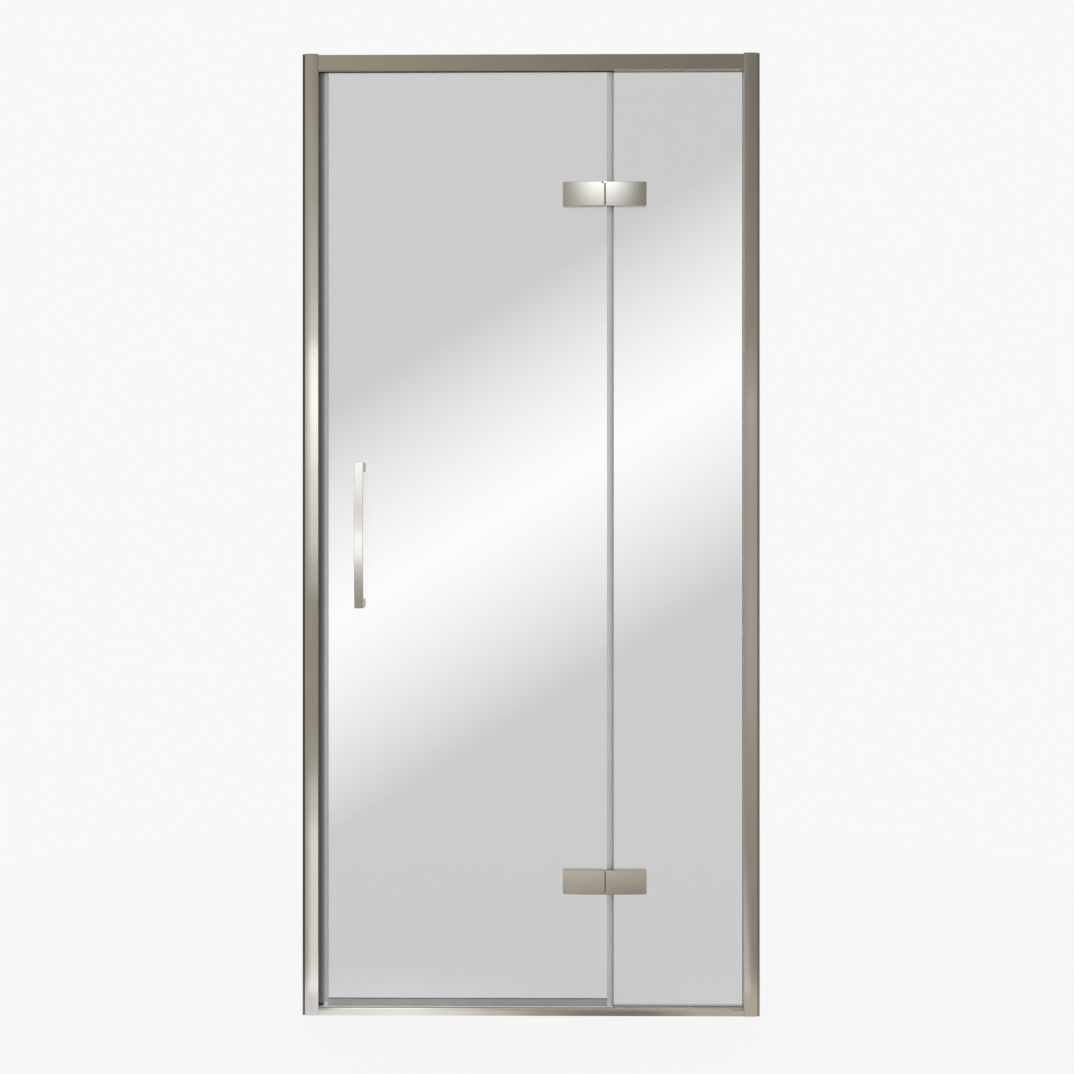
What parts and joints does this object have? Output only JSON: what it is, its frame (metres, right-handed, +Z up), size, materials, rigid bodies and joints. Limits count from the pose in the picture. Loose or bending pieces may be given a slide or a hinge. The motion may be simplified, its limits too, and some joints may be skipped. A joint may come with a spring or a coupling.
{
  "type": "pivot shower door",
  "caption": "Framed shower front: an outward-opening pivot glass door hinged to a fixed glass pane, with pull handle, magnetic seals, top rail and low threshold between wall channels.",
  "frame": {"origin": "middle of the threshold's underside, in the middle plane of the glass", "axes": "+Z up, -Y out of the shower towards the user, +X from the handle side to the fixed pane"},
  "size_m": [0.95, 0.0805, 2],
  "materials": {
    "satin_nickel": "warm brushed nickel, soft sheen",
    "wall_channel_metal": "nickel-coloured anodised, darker than the jambs",
    "nickel_caps": "moulded plastic in the frame's nickel colour",
    "clear_glass": "clear toughened glass with ground edges",
    "clear_seal": "translucent clear PVC",
    "grey_seal": "grey PVC",
    "magnet_strip": "dark flexible magnet",
    "glazing_gasket": "grey rubber",
    "dark_rubber": "matt dark rubber",
    "hard_plastic": "moulded nylon",
    "steel_fasteners": "stainless steel"
  },
  "bodies": {
    "root": {"wall_channel_left": "wall_channel_metal", "wall_channel_right": "wall_channel_metal", "strike_jamb": "satin_nickel", "fixed_panel_jamb": "satin_nickel", "jamb_cap_left": "nickel_caps", "jamb_cap_right": "nickel_caps", "top_rail": "satin_nickel", "top_rail_infill": "dark_rubber", "threshold": "satin_nickel", "threshold_infill": "grey_seal", "corner_screws": "steel_fasteners", "jamb_fixing_screws": "steel_fasteners", "screw_covers": "nickel_caps", "fixed_glass": "clear_glass", "glazing_gasket_side": "glazing_gasket", "glazing_gasket_top": "glazing_gasket", "glazing_gasket_bottom": "glazing_gasket", "setting_blocks": "hard_plastic", "jamb_magnet_seal": "grey_seal", "jamb_magnet_strip": "magnet_strip", "strike_corner_pad": "dark_rubber", "frame_hinge_screws": "steel_fasteners", "frame_hinge_grommets": "hard_plastic", "lower_hinge_frame_leaf": "satin_nickel", "lower_hinge_pin": "steel_fasteners", "lower_hinge_frame_clamp": "satin_nickel", "lower_hinge_frame_gaskets": "glazing_gasket", "upper_hinge_frame_leaf": "satin_nickel", "upper_hinge_pin": "steel_fasteners", "upper_hinge_frame_clamp": "satin_nickel", "upper_hinge_frame_gaskets": "glazing_gasket"},
    "door": {"door_glass": "clear_glass", "door_magnet_seal": "clear_seal", "door_magnet_strip": "magnet_strip", "hinge_side_seal": "clear_seal", "drip_seal": "clear_seal", "door_hinge_screws": "steel_fasteners", "door_hinge_grommets": "hard_plastic", "handle_bar": "satin_nickel", "handle_post_lower": "satin_nickel", "handle_post_upper": "satin_nickel", "handle_washers": "glazing_gasket", "handle_grommets": "hard_plastic", "handle_screws": "steel_fasteners", "handle_rosettes": "satin_nickel", "lower_hinge_door_leaf": "satin_nickel", "lower_hinge_bushes": "hard_plastic", "lower_hinge_door_clamp": "satin_nickel", "lower_hinge_door_gaskets": "glazing_gasket", "upper_hinge_door_leaf": "satin_nickel", "upper_hinge_bushes": "hard_plastic", "upper_hinge_door_clamp": "satin_nickel", "upper_hinge_door_gaskets": "glazing_gasket"}
  },
  "joints": [
    {"name": "door_swing", "type": "hinge", "parent": "root", "child": "door", "pos_m": [0.1512, -0.015, 0.993], "axis": [0, 0, 1], "range_deg": [0, 90]}
  ]
}
